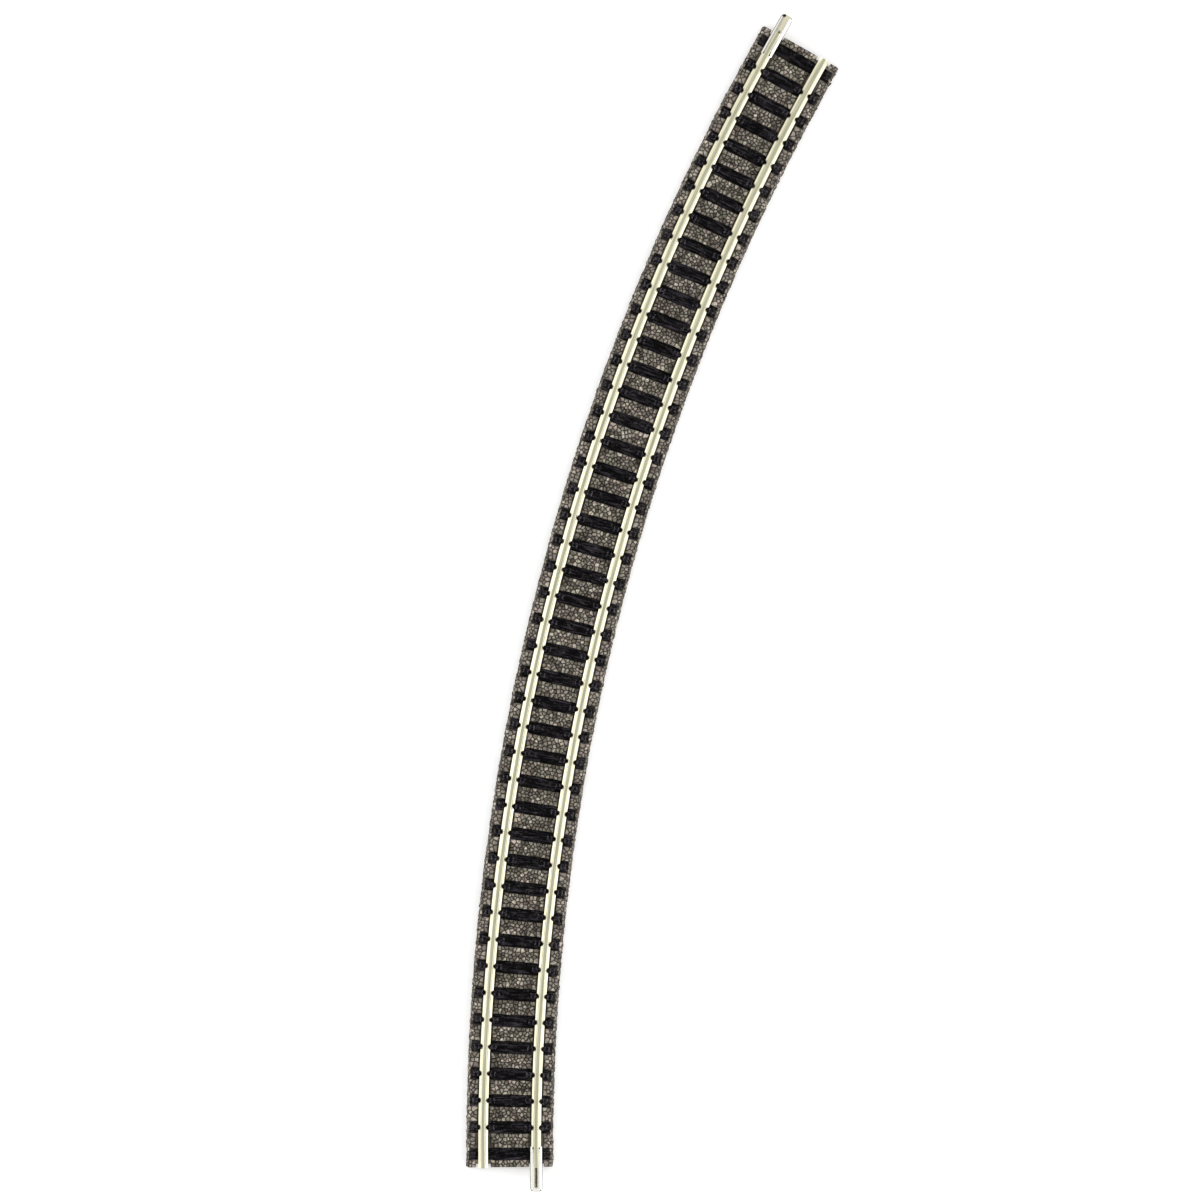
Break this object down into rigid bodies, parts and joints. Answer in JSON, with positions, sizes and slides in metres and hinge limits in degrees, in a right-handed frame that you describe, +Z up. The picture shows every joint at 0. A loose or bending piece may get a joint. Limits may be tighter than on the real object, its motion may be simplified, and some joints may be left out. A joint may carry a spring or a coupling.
{
  "type": "model track section",
  "caption": "Curved 9 mm gauge model track section with two rails on black sleepers set in a moulded ballast bed, with a sliding rail joiner at each end.",
  "frame": {"origin": "on the plane the section stands on, below the track's centreline, halfway along the arc", "axes": "+Y along the track at the middle of the arc, from the start to the far end; +X towards the centre of the curve, 430 mm away; +Z up"},
  "size_m": [0.031, 0.2317, 0.0056],
  "materials": {
    "ballast": "moulded stone texture, matt grey-brown",
    "sleeper": "moulded wood grain, satin black",
    "rail": "drawn nickel silver, pale yellowish metal",
    "joiner": "bright plated sheet"
  },
  "bodies": {
    "track": {"ballast_bed": "ballast", "sleeper_01": "sleeper", "sleeper_02": "sleeper", "sleeper_03": "sleeper", "sleeper_04": "sleeper", "sleeper_05": "sleeper", "sleeper_06": "sleeper", "sleeper_07": "sleeper", "sleeper_08": "sleeper", "sleeper_09": "sleeper", "sleeper_10": "sleeper", "sleeper_11": "sleeper", "sleeper_12": "sleeper", "sleeper_13": "sleeper", "sleeper_14": "sleeper", "sleeper_15": "sleeper", "sleeper_16": "sleeper", "sleeper_17": "sleeper", "sleeper_18": "sleeper", "sleeper_19": "sleeper", "sleeper_20": "sleeper", "sleeper_21": "sleeper", "sleeper_22": "sleeper", "sleeper_23": "sleeper", "sleeper_24": "sleeper", "sleeper_25": "sleeper", "sleeper_26": "sleeper", "sleeper_27": "sleeper", "sleeper_28": "sleeper", "sleeper_29": "sleeper", "sleeper_30": "sleeper", "sleeper_31": "sleeper", "sleeper_32": "sleeper", "sleeper_33": "sleeper", "sleeper_34": "sleeper", "sleeper_35": "sleeper", "sleeper_36": "sleeper", "sleeper_37": "sleeper", "sleeper_38": "sleeper", "sleeper_39": "sleeper", "sleeper_40": "sleeper", "sleeper_41": "sleeper", "sleeper_42": "sleeper", "sleeper_43": "sleeper", "sleeper_44": "sleeper", "outer_rail": "rail", "inner_rail": "rail"},
    "start_joiner": {"rail_joiner_start": "joiner"},
    "far_joiner": {"rail_joiner_far": "joiner"}
  },
  "joints": [
    {"name": "start_joiner_slide", "type": "slide", "parent": "track", "child": "start_joiner", "axis": [0.2531, -0.9674, 0], "range_m": [-0.0023, 0.005]},
    {"name": "far_joiner_slide", "type": "slide", "parent": "track", "child": "far_joiner", "axis": [0.2531, 0.9674, 0], "range_m": [-0.0015, 0.0058]}
  ]
}
